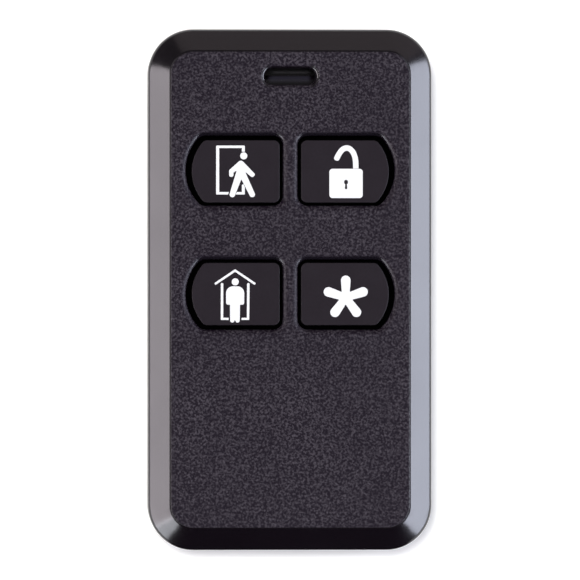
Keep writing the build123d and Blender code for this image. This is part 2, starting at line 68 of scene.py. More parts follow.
# Outlines: steps on a rounded corner, corners in a circle, and the least radius and step that count
ARC_STEPS = 12
ARCS_IN_CIRCLE = 4
LEAST_RADIUS = 1e-9
LEAST_STEP = 1e-6

# Meshes: decimals of a metre that tell vertices apart, and the angles in degrees that stay sharp
MERGE_DECIMALS = 7
CASE_SHARP_ANGLE = 24.0
SHELL_SHARP_ANGLE = 50.0

# Noise: how much larger clouds are than grain, and the values where the ramps on a noise start and end
CLOUD_GROWTH = 8
CLOUD_LOW, CLOUD_HIGH = 0.3, 0.7

# Numbers of the Mix node's colour sockets
MIX_COLOURS = (6, 7)
MIX_RESULT = 2

# Where the grain runs over rims: round the keys, and on both sides of the middle of the key-ring slot
KEYPAD_MARGIN = 0.4 * MILLIMETRE
SLOT_SIDES_HALF_X = 2.1 * MILLIMETRE
SLOT_SIDES_HALF_Y = 1.9 * MILLIMETRE

Colour = tuple[float, float, float]
Scale = tuple[float, float, float]
Corner = tuple[float, float, float]
Point = tuple[float, float]
Span = tuple[float, float]


class Pattern(Enum):
    """How the fine texture of a finish is laid out."""

    EVEN = (1.0, 1.0, 1.0)
    DRAWN = (1.0, 0.06, 1.0)
    RISEN = (1.0, 1.0, 0.08)


class Pictogram(Enum):
    """The command printed on a key."""

    LEAVING = "arm_away"
    OPEN_PADLOCK = "disarm"
    AT_HOME = "arm_stay"
    STAR = "auxiliary"


@dataclass(frozen=True)
class Area:
    """An upright box seen from above: its middle and half its lengths along x and y."""

    x: float
    y: float
    half_x: float
    half_y: float


class Graph:
    """The shader nodes of a material or of the sky, with short calls to add and join them."""

    def __init__(self, tree: bpy.types.NodeTree) -> None:
        """Takes the tree that gets the nodes."""
        self.tree = tree

    def add(self, kind: str, settings: dict | None = None, **inputs: object) -> bpy.types.Node:
        """Adds a node.

        Args:
            kind: the node's type name.
            settings: properties of the node itself.
            inputs: socket names, with underscores for spaces, and a value or an output to join to each.

        Returns:
            The new node.
        """
        node = self.tree.nodes.new(kind)
        for key, value in (settings or {}).items():
            setattr(node, key, value)
        for key, value in inputs.items():
            self.feed(node.inputs[key.replace("_", " ")], value)
        return node

    def feed(self, socket: bpy.types.NodeSocket, value: object) -> None:
        """Joins an output to a socket, or sets the socket's value."""
        if isinstance(value, bpy.types.NodeSocket):
            self.tree.links.new(value, socket)
        else:
            socket.default_value = value

    def math(self, operation: str, one: object, other: object) -> bpy.types.NodeSocket:
        """Result of a sum on two values."""
        node = self.add("ShaderNodeMath", {"operation": operation})
        self.feed(node.inputs[0], one)
        self.feed(node.inputs[1], other)
        return node.outputs[0]

    def times(self, one: object, other: object) -> bpy.types.NodeSocket:
        """Product of two values."""
        return self.math("MULTIPLY", one, other)


class Nodes(Graph):
    """A material's shader nodes, with the noises, masks and blends that the finishes are made of."""

    def __init__(self, name: str) -> None:
        """Starts a material with a Principled shader.

        Args:
            name: the material's name.
        """
        self.material = bpy.data.materials.new(name)
        self.material.use_nodes = True
        super().__init__(self.material.node_tree)
        self.shader = self.tree.nodes["Principled BSDF"]
        self.output = self.tree.nodes["Material Output"]

    def place(self) -> bpy.types.NodeSocket:
        """Object coordinates, in metres."""
        return self.add("ShaderNodeTexCoord").outputs["Object"]

    def noise(
        self, size: float, stretch: Scale = (1.0, 1.0, 1.0), detail: float = 3.0
    ) -> bpy.types.NodeSocket:
        """Cloudy noise in space.

        Args:
            size: length of one cloud, in metres.
            stretch: how much finer the noise is along each axis.
            detail: how many finer layers lie over the clouds.

        Returns:
            The factor, from 0 to 1.
        """
        mapping = self.add("ShaderNodeMapping", Vector=self.place(), Scale=stretch)
        noise = self.add("ShaderNodeTexNoise", Vector=mapping.outputs[0], Scale=1.0 / size, Detail=detail)
        return noise.outputs["Fac"]

    def ramp(
        self, value: bpy.types.NodeSocket, start: float, end: float, low: float, high: float
    ) -> bpy.types.NodeSocket:
        """Straight ramp from low to high as a value goes from start to end, held level outside."""
        node = self.add("ShaderNodeMapRange", Value=value)
        for key, number in (("From Min", start), ("From Max", end), ("To Min", low), ("To Max", high)):
            node.inputs[key].default_value = number
        return node.outputs[0]

    def above(self, level: float, fade: float) -> bpy.types.NodeSocket:
        """0 up to a height in metres, and 1 from a little above it, where the fade ends."""
        height = self.add("ShaderNodeSeparateXYZ", Vector=self.place()).outputs["Z"]
        return self.ramp(height, level, level + fade, 0.0, 1.0)

    def facing(self, axis: str) -> bpy.types.NodeSocket:
        """How far the surface faces along an axis, from -1 to 1."""
        normal = self.add("ShaderNodeTexCoord").outputs["Normal"]
        return self.add("ShaderNodeSeparateXYZ", Vector=normal).outputs[axis]

    def within(self, area: Area, fade: float) -> bpy.types.NodeSocket:
        """1 inside an upright box seen from above, falling to 0 a little outside it.

        The distance outside is the larger of the distances along x and y from the middle of the box,
        each less half the box's length.

        Args:
            area: the box.
            fade: width in metres of the strip where the value falls.

        Returns:
            The value, from 0 to 1.
        """
        place = self.add("ShaderNodeSeparateXYZ", Vector=self.place()).outputs
        outside = []
        for axis, middle, half in (("X", area.x, area.half_x), ("Y", area.y, area.half_y)):
            away = self.add("ShaderNodeMath", {"operation": "ABSOLUTE"})
            self.feed(away.inputs[0], self.math("SUBTRACT", place[axis], middle))
            outside.append(self.math("SUBTRACT", away.outputs[0], half))
        return self.ramp(self.math("MAXIMUM", *outside), 0.0, fade, 1.0, 0.0)

    def blend(self, share: bpy.types.NodeSocket, one: object, other: object) -> bpy.types.NodeSocket:
        """Colour between two colours, by a share from 0 to 1."""
        node = self.add("ShaderNodeMix", {"data_type": "RGBA"})
        self.feed(node.inputs[0], share)
        for number, value in zip(MIX_COLOURS, (one, other)):
            self.feed(node.inputs[number], (*value, 1.0) if isinstance(value, tuple) else value)
        return node.outputs[MIX_RESULT]

    def between(self, share: bpy.types.NodeSocket, one: object, other: object) -> bpy.types.NodeSocket:
        """Value between two values, by a share from 0 to 1."""
        return self.math("ADD", one, self.times(self.math("SUBTRACT", other, one), share))

    def around(self, noise: bpy.types.NodeSocket, middle: float, spread: float) -> bpy.types.NodeSocket:
        """Value that follows a noise, from the middle less the spread to the middle and the spread."""
        return self.ramp(noise, CLOUD_LOW, CLOUD_HIGH, middle - spread, middle + spread)

    def matt(self, colour: Colour, roughness: float) -> None:
        """Gives the shader one colour and a roughness, without gloss."""
        self.shader.inputs["Base Color"].default_value = (*colour, 1.0)
        self.shader.inputs["Roughness"].default_value = roughness
        self.shader.inputs["Specular IOR Level"].default_value = 0.0

    def relief(self, height: bpy.types.NodeSocket, depth: float) -> None:
        """Gives the shader a bump of a depth in metres from a height of 0 to 1."""
        bump = self.add("ShaderNodeBump", Height=height, Distance=depth)
        self.feed(self.shader.inputs["Normal"], bump.outputs[0])


@dataclass(frozen=True)
class Finish:
    """A moulded, drawn, pressed or glazed surface of one piece.

    The texture is cloudy noise in space: it shifts the colour from low to high, the roughness about its
    middle, and the surface by its depth.
    """

    name: str
    low: Colour
    high: Colour
    roughness: float
    metallic: float = 0.0
    grain: float = 0.4 * MILLIMETRE
    depth: float = 0.004 * MILLIMETRE
    spread: float = 0.08
    specular: float = 0.5
    pattern: Pattern = Pattern.EVEN

    def material(self) -> bpy.types.Material:
        """Builds the material.

        Returns:
            The finished material.
        """
        nodes = Nodes(self.name)
        texture = nodes.noise(self.grain, self.pattern.value)
        cloud = nodes.noise(self.grain * CLOUD_GROWTH, self.pattern.value)
        nodes.shader.inputs["Metallic"].default_value = self.metallic
        nodes.shader.inputs["Specular IOR Level"].default_value = self.specular
        nodes.feed(nodes.shader.inputs["Base Color"], nodes.blend(texture, self.low, self.high))
        nodes.feed(nodes.shader.inputs["Roughness"], nodes.around(cloud, self.roughness, self.spread))
        nodes.relief(texture, self.depth)
        return nodes.material


@dataclass(frozen=True)
class GrainedShell:
    """Charcoal case plastic: spark grain on the flat front face, and smooth satin everywhere else.

    The grain is two noises added, one of pits and one of finer tooth, held level at both ends, so that
    it reads as light and dark specks. Broad clouds of dust make it a little paler in places. It fades
    out where the bevel starts, but runs down over the rounded rims of the key openings and of the long
    sides of the key-ring slot, except where a rim faces the lower end: there, sooner at the keys than at
    the slot, it gives way to the smooth finish, whose darker colour is painted shade. The slot's ends are
    smooth, because rings have rubbed them. Its inside is painted paler as painted light, most of all on
    its lower step, and on each step towards the key-ring end, and the key rims get a little of it too.
    """

    name: str
    face_level: float
    keypad: Area
    slot_sides: Area
    face_low: Colour = (0.0038, 0.0009, 0.0053)
    face_high: Colour = (0.0552, 0.0470, 0.0572)
    side_low: Colour = (0.0035, 0.0022, 0.0036)
    side_high: Colour = (0.0050, 0.0032, 0.0052)
    # Painted light inside the key-ring slot, on its lower and its upper step; the upper one also on the key rims
    painted_light_low_step: Colour = (0.1500, 0.1390, 0.1560)
    painted_light_high_step: Colour = (0.0340, 0.0310, 0.0450)
    face_roughness: float = 0.52
    side_roughness: float = 0.22
    face_specular: float = 0.42
    rim_specular: float = 0.3
    side_specular: float = 0.62
    pit: float = 0.26 * MILLIMETRE
    tooth: float = 0.145 * MILLIMETRE
    pit_detail: float = 2.0
    tooth_detail: float = 1.0
    pit_share: float = 0.75
    speckle_from: float = 0.438
    speckle_to: float = 0.674
    cloud_growth: float = 30.0
    face_spread: float = 0.06
    side_spread: float = 0.02
    pit_depth: float = 0.045 * MILLIMETRE
    side_depth: float = 0.0012 * MILLIMETRE
    bevel_reach: float = 0.02 * MILLIMETRE
    bevel_fade: float = 0.015 * MILLIMETRE
    rim_reach: float = 0.55 * MILLIMETRE
    rim_fade: float = 0.07 * MILLIMETRE
    slot_fade: float = 0.5 * MILLIMETRE
    slot_top: float = 1.2 * MILLIMETRE
    slot_bottom: float = 1.5 * MILLIMETRE
    slot_middle: float = 4.7 * MILLIMETRE
    # Where the slot's painted light ramps up towards the key-ring end, from the middle of the slot, on each step
    low_step_light_from: float = 0.50 * MILLIMETRE
    low_step_light_to: float = 0.68 * MILLIMETRE
    high_step_light_from: float = -0.60 * MILLIMETRE
    high_step_light_to: float = -0.05 * MILLIMETRE
    # Facings where rims that face the lower end give way to the smooth finish, whose darker colour is painted
    # shade
    key_rim_shade_span: Span = (-0.56, -0.2)
    slot_rim_shade_span: Span = (-0.8, -0.45)
    # Share of the painted light on the key rims
    key_rim_painted_light: float = 0.1
    dust: float = 0.16

    def material(self) -> bpy.types.Material:
        """Builds the material.

        Returns:
            The finished material.
        """
        nodes = Nodes(self.name)
        to_bevel = nodes.above(self.face_level - self.bevel_reach, self.bevel_fade)
        over_rims = nodes.above(self.face_level - self.rim_reach, self.rim_fade)
        by_keys = nodes.within(self.keypad, self.rim_fade)
        by_slot = nodes.within(self.slot_sides, self.slot_fade)
        # Rims that face the lower end take the smooth finish, and its darker colour there is painted shade
        uphill = nodes.facing("Y")
        over_key_rims = nodes.times(over_rims, nodes.ramp(uphill, *self.key_rim_shade_span, 0.0, 1.0))
        over_slot_rims = nodes.times(over_rims, nodes.ramp(uphill, *self.slot_rim_shade_span, 0.0, 1.0))
        on_face = nodes.between(by_keys, to_bevel, over_key_rims)
        on_face = nodes.between(by_slot, on_face, over_slot_rims)
        pits = nodes.noise(self.pit, detail=self.pit_detail)
        teeth = nodes.noise(self.tooth, detail=self.tooth_detail)
        tooth_share = 1.0 - self.pit_share
        grain = nodes.math("ADD", nodes.times(pits, self.pit_share), nodes.times(teeth, tooth_share))
        speckle = nodes.ramp(grain, self.speckle_from, self.speckle_to, 0.0, 1.0)
        clouds = nodes.noise(self.pit * self.cloud_growth)
        dusty = nodes.around(clouds, 1.0, self.dust)
        face = nodes.blend(nodes.times(speckle, dusty), self.face_low, self.face_high)
        # Painted light in the key-ring slot: between its two heights, paler on the lower step, rising towards the
        # key-ring end
        low_enough = nodes.above(self.face_level - self.slot_top, self.slot_fade)
        high_enough = nodes.above(self.slot_bottom, self.slot_fade)
        in_slot = nodes.times(by_slot, nodes.times(high_enough, nodes.math("SUBTRACT", 1.0, low_enough)))
        along = nodes.add("ShaderNodeSeparateXYZ", Vector=nodes.place()).outputs["Y"]
        from_middle = nodes.math("SUBTRACT", along, self.slot_sides.y)
        low_step_light = nodes.ramp(from_middle, self.low_step_light_from, self.low_step_light_to, 0.0, 1.0)
        high_step_light = nodes.ramp(from_middle, self.high_step_light_from, self.high_step_light_to, 0.0, 1.0)
        on_high_step = nodes.above(self.slot_middle, self.slot_fade)
        in_slot = nodes.times(in_slot, nodes.between(on_high_step, low_step_light, high_step_light))
        # A little of the same painted light on the key rims
        key_rim_light_share = nodes.times(nodes.times(by_keys, over_rims), self.key_rim_painted_light)
        painted_light_share = nodes.math("MAXIMUM", in_slot, key_rim_light_share)
        smooth = nodes.blend(clouds, self.side_low, self.side_high)
        painted_light = nodes.blend(on_high_step, self.painted_light_low_step, self.painted_light_high_step)
        side = nodes.blend(painted_light_share, smooth, painted_light)
        nodes.feed(nodes.shader.inputs["Base Color"], nodes.blend(on_face, side, face))
        face_rough = nodes.around(teeth, self.face_roughness, self.face_spread)
        side_rough = nodes.around(clouds, self.side_roughness, self.side_spread)
        nodes.feed(nodes.shader.inputs["Roughness"], nodes.between(on_face, side_rough, face_rough))
        grained = nodes.ramp(to_bevel, 0.0, 1.0, self.rim_specular, self.face_specular)
        specular = nodes.between(on_face, self.side_specular, grained)
        nodes.feed(nodes.shader.inputs["Specular IOR Level"], specular)
        fine = nodes.times(nodes.noise(self.pit / 2), self.side_depth / self.pit_depth)
        nodes.relief(nodes.math("ADD", fine, nodes.times(grain, on_face)), self.pit_depth)
        return nodes.material


@dataclass(frozen=True)
class CapPlastic:
    """Key plastic: satin on the cap's top; matt sides and flange, painted black as shade."""

    name: str
    cap_level: float
    top_low: Colour = (0.0121, 0.0092, 0.0120)
    top_high: Colour = (0.0174, 0.0129, 0.0173)
    # Painted shade: near black on the cap's sides, edge and flange
    matt: Colour = (0.0006, 0.0006, 0.0006)
    top_roughness: float = 0.40
    top_spread: float = 0.04
    matt_roughness: float = 0.9
    top_specular: float = 0.35
    matt_specular: float = 0.03
    grain: float = 0.3 * MILLIMETRE
    depth: float = 0.003 * MILLIMETRE
    edge: float = 0.04 * MILLIMETRE

    def material(self) -> bpy.types.Material:
        """Builds the material.

        Returns:
            The finished material.
        """
        nodes = Nodes(self.name)
        # Below the edge of the top, the cap takes the matt black, painted as shade on its sides and in the gap
        on_top = nodes.above(self.cap_level - self.edge, self.edge / 2)
        texture = nodes.noise(self.grain)
        top = nodes.blend(texture, self.top_low, self.top_high)
        nodes.feed(nodes.shader.inputs["Base Color"], nodes.blend(on_top, self.matt, top))
        cloud = nodes.noise(self.grain * CLOUD_GROWTH)
        satin = nodes.around(cloud, self.top_roughness, self.top_spread)
        nodes.feed(nodes.shader.inputs["Roughness"], nodes.between(on_top, self.matt_roughness, satin))
        specular = nodes.ramp(on_top, 0.0, 1.0, self.matt_specular, self.top_specular)
        nodes.feed(nodes.shader.inputs["Specular IOR Level"], specular)
        nodes.relief(texture, self.depth)
        return nodes.material


INK = Finish(
    "pictogram_ink", (0.82, 0.82, 0.82), (0.87, 0.87, 0.87), 0.5,
    grain=0.5 * MILLIMETRE, depth=0.002 * MILLIMETRE,
)

SLOT_FINISHES = {
    "silicone": Finish("silicone", (0.10, 0.10, 0.11), (0.14, 0.14, 0.15), 0.62, grain=0.3 * MILLIMETRE),
    "board_laminate": Finish(
        "board_laminate", (0.012, 0.10, 0.05), (0.03, 0.18, 0.09), 0.32, grain=0.5 * MILLIMETRE,
    ),
    "switch_plastic": Finish("switch_plastic", (0.018, 0.018, 0.018), (0.035, 0.035, 0.035), 0.5),
    "stem_plastic": Finish("stem_plastic", (0.54, 0.52, 0.45), (0.64, 0.62, 0.56), 0.45),
    "spring_steel": Finish(
        "spring_steel", (0.60, 0.60, 0.62), (0.74, 0.74, 0.76), 0.28, 1.0, pattern=Pattern.DRAWN
    ),
    "cell_steel": Finish(
        "cell_steel", (0.66, 0.66, 0.65), (0.78, 0.78, 0.76), 0.24, 1.0, pattern=Pattern.RISEN
    ),
    "cell_gasket": Finish("cell_gasket", (0.70, 0.69, 0.64), (0.78, 0.77, 0.73), 0.5),
    "cell_cathode": Finish(
        "cell_cathode", (0.02, 0.02, 0.02), (0.06, 0.06, 0.06), 0.85, grain=0.1 * MILLIMETRE
    ),
    "cell_separator": Finish(
        "cell_separator", (0.74, 0.74, 0.71), (0.88, 0.88, 0.86), 0.9,
        grain=0.2 * MILLIMETRE, pattern=Pattern.DRAWN,
    ),
    "cell_lithium": Finish("cell_lithium", (0.52, 0.53, 0.56), (0.68, 0.69, 0.71), 0.42, 1.0),
    "antenna_copper": Finish(
        "antenna_copper", (0.70, 0.34, 0.20), (0.84, 0.46, 0.30), 0.3, 1.0, pattern=Pattern.DRAWN
    ),
    "chip_plastic": Finish(
        "chip_plastic", (0.014, 0.014, 0.015), (0.028, 0.028, 0.03), 0.6, grain=0.12 * MILLIMETRE
    ),
    "tinned_metal": Finish("tinned_metal", (0.60, 0.60, 0.61), (0.74, 0.74, 0.75), 0.32, 1.0),
    "capacitor_ceramic": Finish("capacitor_ceramic", (0.38, 0.27, 0.16), (0.50, 0.37, 0.23), 0.5),
    "resistor_ceramic": Finish("resistor_ceramic", (0.02, 0.02, 0.024), (0.05, 0.05, 0.055), 0.3),
    "inductor_ferrite": Finish("inductor_ferrite", (0.07, 0.07, 0.075), (0.12, 0.12, 0.13), 0.6),
    "screw_steel": Finish("screw_steel", (0.40, 0.40, 0.42), (0.54, 0.54, 0.56), 0.34, 1.0),
}


class Palette:
    """Materials by the record's slot, each built once."""

    def __init__(self, face_level: float, cap_level: float, keypad: Area, slot_sides: Area) -> None:
        """Sets the two finishes that follow the fob's size.

        Args:
            face_level: height of the front face.
            cap_level: height of the tops of the key caps.
            keypad: the part of the face with the key openings and their rims.
            slot_sides: the part of the face with the long sides of the key-ring slot.
        """
        self.finishes: dict[str, Finish | GrainedShell | CapPlastic] = dict(SLOT_FINISHES)
        self.finishes["case_plastic"] = GrainedShell("case_plastic", face_level, keypad, slot_sides)
        self.finishes["key_plastic"] = CapPlastic("key_plastic", cap_level)
        self.built: dict[str, bpy.types.Material] = {}

    def of_slot(self, slot: str) -> bpy.types.Material:
        """The material of a slot, built when it is first asked for."""
        if slot not in self.built:
            self.built[slot] = self.finishes[slot].material()
        return self.built[slot]

    def of_node(self, node: str) -> bpy.types.Material:
        """The material of a CAD node, by its slot in the record."""
        return self.of_slot(NODE_SLOTS[node])


NODE_SLOTS: dict[str, str] = {part["node"]: part["material_slot"] for part in frame["record"]["subparts"]}


def linked(name: str, data: bpy.types.ID) -> bpy.types.Object:
    """Makes an object at the origin from its data, and links it to the scene."""
    made = bpy.data.objects.new(name, data)
    bpy.context.scene.collection.objects.link(made)
    return made


def vertex_places(mesh: bpy.types.Mesh) -> np.ndarray:
    """One row of x, y and z for each vertex of a mesh."""
    places = np.empty(3 * len(mesh.vertices), np.float32)
    mesh.vertices.foreach_get("co", places)
    return places.reshape(-1, 3)


def mesh_object(name: str, points: np.ndarray, faces: np.ndarray) -> bpy.types.Object:
    """Makes an object at the origin from arrays.

    Args:
        name: the object's name.
        points: one row of x, y and z for each vertex.
        faces: one row of vertex numbers for each face.

    Returns:
        The object, linked to the scene.
    """
    mesh = bpy.data.meshes.new(name)
    mesh.from_pydata(points, [], faces)
    mesh.update()
    return linked(name, mesh)


def shade(piece: bpy.types.Object, angle: float = CASE_SHARP_ANGLE) -> None:
    """Shades a piece smooth, but sharp across edges steeper than an angle in degrees, by face area."""
    mesh = piece.data
    mesh.polygons.foreach_set("use_smooth", np.ones(len(mesh.polygons), bool))
    mesh.set_sharp_from_angle(angle=math.radians(angle))
    weighted = piece.modifiers.new("even_shading", "WEIGHTED_NORMAL")
    weighted.keep_sharp = True


def merged_copy(node: str, name: str) -> bpy.types.Object:
    """Copies a CAD node's loose triangles into one joined, smoothly shaded mesh.

    Vertices whose places agree to a tenth of a micrometre become one, and triangles with no area go.

    Args:
        node: the CAD node.
        name: the new object's name.

    Returns:
        The new object.
    """
    mesh = frame["nodes"][node].data
    corners = np.empty(len(mesh.loops), np.int32)
    mesh.loops.foreach_get("vertex_index", corners)
    places = np.round(vertex_places(mesh), MERGE_DECIMALS)
    merged, place = np.unique(places, axis=0, return_inverse=True)
    faces = place.reshape(-1)[corners].reshape(-1, 3)
    whole = (faces[:, 0] != faces[:, 1]) & (faces[:, 1] != faces[:, 2]) & (faces[:, 2] != faces[:, 0])
    copy = mesh_object(name, merged, faces[whole])
    shade(copy)
    return copy


def ring_faces(rings: int, steps: int) -> np.ndarray:
    """Quads between closed rings of vertices that follow each other, with the last joined to the first.

    Args:
        rings: how many rings there are.
        steps: how many vertices each ring has.

    Returns:
        One row of four vertex numbers for each face.
    """
    ring, step = np.meshgrid(np.arange(rings), np.arange(steps), indexing="ij")
    next_ring, next_step = (ring + 1) % rings, (step + 1) % steps
    here, above = ring * steps, next_ring * steps
    corners = (here + step, here + next_step, above + next_step, above + step)
    return np.stack(corners, axis=-1).reshape(-1, len(corners))


def rounded(corners: tuple[Corner, ...]) -> np.ndarray:
    """Closed outline through corners, each rounded by its own radius.

    Each arc touches both sides that meet at its corner. Its points turn at an even rate about the
    arc's centre, which lies on the line that halves the corner, at the radius over the sine of half
    the angle between the sides.

    Args:
        corners: x, y and radius of each corner, in order round the outline.

    Returns:
        One row of x and y for each point.
    """
    table = np.array(corners, float)
    points, radii = table[:, :2], np.maximum(table[:, 2:], LEAST_RADIUS)
    back = np.roll(points, 1, axis=0) - points
    ahead = np.roll(points, -1, axis=0) - points
    back /= np.linalg.norm(back, axis=1, keepdims=True)
    ahead /= np.linalg.norm(ahead, axis=1, keepdims=True)
    half = np.arccos(np.clip((back * ahead).sum(axis=1, keepdims=True), -1, 1)) / 2
    middle = back + ahead
    centre = points + middle / np.linalg.norm(middle, axis=1, keepdims=True) * radii / np.sin(half)
    start = points + back * radii / np.tan(half) - centre
    end = points + ahead * radii / np.tan(half) - centre
    turn = (math.pi - 2 * half)[:, None]
    share = np.linspace(0, 1, ARC_STEPS + 1)[None, :, None]
    arc = (np.sin((1 - share) * turn) * start[:, None] + np.sin(share * turn) * end[:, None]) / np.sin(turn)
    path = (centre[:, None] + arc).reshape(-1, 2)
    gap = np.linalg.norm(path - np.roll(path, 1, axis=0), axis=1)
    return path[gap > LEAST_STEP]


def circle(x: float, y: float, radius: float) -> np.ndarray:
    """Circle about a point, as points at even angles."""
    angle = np.linspace(0, 2 * math.pi, ARCS_IN_CIRCLE * ARC_STEPS, endpoint=False)
    return np.stack((x + radius * np.cos(angle), y + radius * np.sin(angle)), axis=1)


def bezier(*controls: Point) -> np.ndarray:
    """Cubic curve from four control points, weighted by the powers of the share along it and the rest."""
    share = np.linspace(0, 1, 2 * ARC_STEPS)[:, None]
    weights = ((1 - share) ** 3, 3 * (1 - share) ** 2 * share, 3 * (1 - share) * share**2, share**3)
    return sum(weight * np.array(control) for weight, control in zip(weights, controls))


def stroke(path: np.ndarray, width: float, end_radius: float) -> np.ndarray:
    """Outline of a band along a path: square at its start, and rounded at its end.

    Each side is the path moved by half the width along the line square to it.

    Args:
        path: points along the middle of the band.
        width: width of the band.
        end_radius: radius of the two corners at its end.

    Returns:
        The closed outline.
    """
    along = np.gradient(path, axis=0)
    along /= np.linalg.norm(along, axis=1, keepdims=True)
    side = np.stack((-along[:, 1], along[:, 0]), axis=1) * width / 2
    table = np.zeros((2 * len(path), 3))
    table[:, :2] = np.concatenate((path + side, (path - side)[::-1]))
    table[len(path) - 1 : len(path) + 1, 2] = end_radius
    return rounded(tuple(map(tuple, table)))


@dataclass(frozen=True)
class Drawing:
    """Outlines of the four pictograms, on a grid about the middle of a key opening.

    One unit of the grid is one pixel of the photograph, with x to the right and y up. Corners are given
    as x, y and radius.
    """

    unit: float = 0.1116 * MILLIMETRE

    door: tuple[Corner, ...] = (
        (11.5, 18.6, 0), (11.5, 24.8, 0.8), (-17.2, 24.8, 0.8), (-17.2, -24.1, 0.6), (-5.3, -24.1, 0.4),
        (-4.3, -21.6, 0.4), (-14.1, -21.6, 0), (-14.1, 22.3, 0), (8.5, 22.3, 0), (8.5, 18.6, 0),
    )
    threshold: tuple[Corner, ...] = (
        (2.2, -24.1, 0), (11.5, -24.1, 0.6), (11.5, -16.5, 0), (10.0, -13.6, 0.3), (8.5, -14.6, 0.5),
        (8.5, -21.6, 0), (3.6, -21.6, 0),
    )
    walker: tuple[Corner, ...] = (
        (7.7, 10.9, 3.2), (22.3, -4.3, 2.2), (19.0, -7.4, 2.2), (11.8, -1.3, 0.3), (22.5, -25.4, 2.6),
        (17.6, -27.6, 2.6), (8.0, -8.9, 0.3), (0.6, -27.5, 2.6), (-4.4, -25.8, 2.6), (3.5, 0.3, 0.4),
        (0.2, -2.4, 0.8), (0.2, -6.5, 2.0), (-4.2, -6.5, 2.0), (-4.2, 0.2, 2.0),
    )
    walker_head: Corner = (10.4, 14.5, 3.55)

    lock_body: tuple[Corner, ...] = (
        (-16.0, 1.65, 3.2), (17.4, 1.65, 3.2), (17.4, -27.6, 3.2), (-16.0, -27.6, 3.2),
    )
    keyhole: tuple[Corner, ...] = (
        (-1.2, -9.4, 1.9), (2.6, -9.4, 1.9), (2.6, -13.0, 1.2), (1.5, -13.7, 0.1), (1.9, -18.6, 0.6),
        (-0.5, -18.6, 0.6), (-0.1, -13.7, 0.1), (-1.2, -13.0, 1.2),
    )
    shackle_leg: tuple[Point, ...] = ((10.45, 1.9), (10.42, 4.5))
    shackle_rise: tuple[Point, ...] = ((10.4, 7.0), (10.2, 15.5), (6.6, 22.4), (1.4, 22.4))
    shackle_fall: tuple[Point, ...] = ((1.4, 22.4), (-3.4, 22.4), (-6.4, 17.2), (-9.5, 10.0))
    shackle_width: float = 5.5
    shackle_end_radius: float = 2.3

    roof: tuple[Corner, ...] = (
        (1.75, 25.2, 0.8), (22.6, 11.2, 0.9), (21.35, 9.4, 0.9), (1.75, 22.6, 0.2), (-17.85, 9.4, 0.9),
        (-19.1, 11.2, 0.9),
    )
    left_wall: tuple[Corner, ...] = (
        (-12.45, 11.3, 0.8), (-10.0, 11.3, 0.8), (-10.1, -23.3, 0), (-4.7, -23.3, 0.4), (-4.7, -25.5, 0.4),
        (-12.55, -25.5, 0.5),
    )
    right_wall: tuple[Corner, ...] = (
        (13.75, 11.3, 0.8), (16.25, 11.3, 0.8), (15.9, -25.5, 0.5), (8.2, -25.5, 0.4), (8.2, -23.3, 0.4),
        (13.5, -23.3, 0),
    )
    resident: tuple[Corner, ...] = (
        (-7.25, 8.1, 6.8), (10.95, 8.1, 6.8), (10.85, -10.3, 2.0), (6.7, -10.3, 0.3), (6.4, -28.1, 2.2),
        (3.1, -28.1, 1.1), (1.6, -25.6, 0.3), (0.1, -28.1, 1.1), (-3.2, -28.1, 2.2), (-3.3, -10.3, 0.3),
        (-7.25, -10.3, 2.0),
    )
    resident_head: Corner = (1.9, 12.6, 3.55)

    star_middle: Point = (0.4, -3.1)
    star_reach: tuple[float, ...] = (22.0, 23.0, 23.0, 23.0, 23.0)
    star_end_half_width: float = 5.15
    star_end_radius: float = 4.9
    star_valley: float = 6.8
    star_valley_radius: float = 0.5

    def shackle(self) -> np.ndarray:
        """The open shackle: a straight leg, then two curves over the top to its free end."""
        rise, fall = bezier(*self.shackle_rise), bezier(*self.shackle_fall)
        path = np.concatenate((np.array(self.shackle_leg), rise, fall[1:]))
        return stroke(path, self.shackle_width, self.shackle_end_radius)

    def star(self) -> np.ndarray:
        """Five arms at even angles that widen from the valleys between them to their round ends."""
        x, y = self.star_middle
        count = len(self.star_reach)
        corners = []
        for arm, reach in enumerate(self.star_reach):
            angle = math.pi / 2 - 2 * math.pi * arm / count
            out = (math.cos(angle), math.sin(angle))
            across = (-out[1], out[0])
            for side in (1, -1):
                offset = side * self.star_end_half_width
                corners.append((
                    x + out[0] * reach + across[0] * offset,
                    y + out[1] * reach + across[1] * offset,
                    self.star_end_radius,
                ))
            valley, dip = angle - math.pi / count, self.star_valley
            place = (x + dip * math.cos(valley), y + dip * math.sin(valley))
            corners.append((*place, self.star_valley_radius))
        return rounded(tuple(corners))

    def outlines(self, pictogram: Pictogram) -> list[np.ndarray]:
        """Closed outlines of a pictogram, in grid units. One that lies inside another is a hole."""
        shapes = {
            Pictogram.LEAVING: lambda: [
                rounded(self.door), rounded(self.threshold), rounded(self.walker), circle(*self.walker_head)
            ],
            Pictogram.OPEN_PADLOCK: lambda: [rounded(self.lock_body), rounded(self.keyhole), self.shackle()],
            Pictogram.AT_HOME: lambda: [
                rounded(self.roof), rounded(self.left_wall), rounded(self.right_wall),
                rounded(self.resident), circle(*self.resident_head),
            ],
            Pictogram.STAR: lambda: [self.star()],
        }
        return shapes[pictogram]()


@dataclass
class Cover:
    """One of the two moulded covers, from its CAD node."""

    node: str
    name: str

    def build(self, palette: Palette) -> bpy.types.Object:
        """Joins the cover's surface and dresses it.

        Args:
            palette: where its material comes from.

        Returns:
            The cover.
        """
        skin = merged_copy(self.node, self.name)
        skin.data.materials.append(palette.of_node(self.node))
        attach(skin, "case")
        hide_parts(self.node)
        return skin


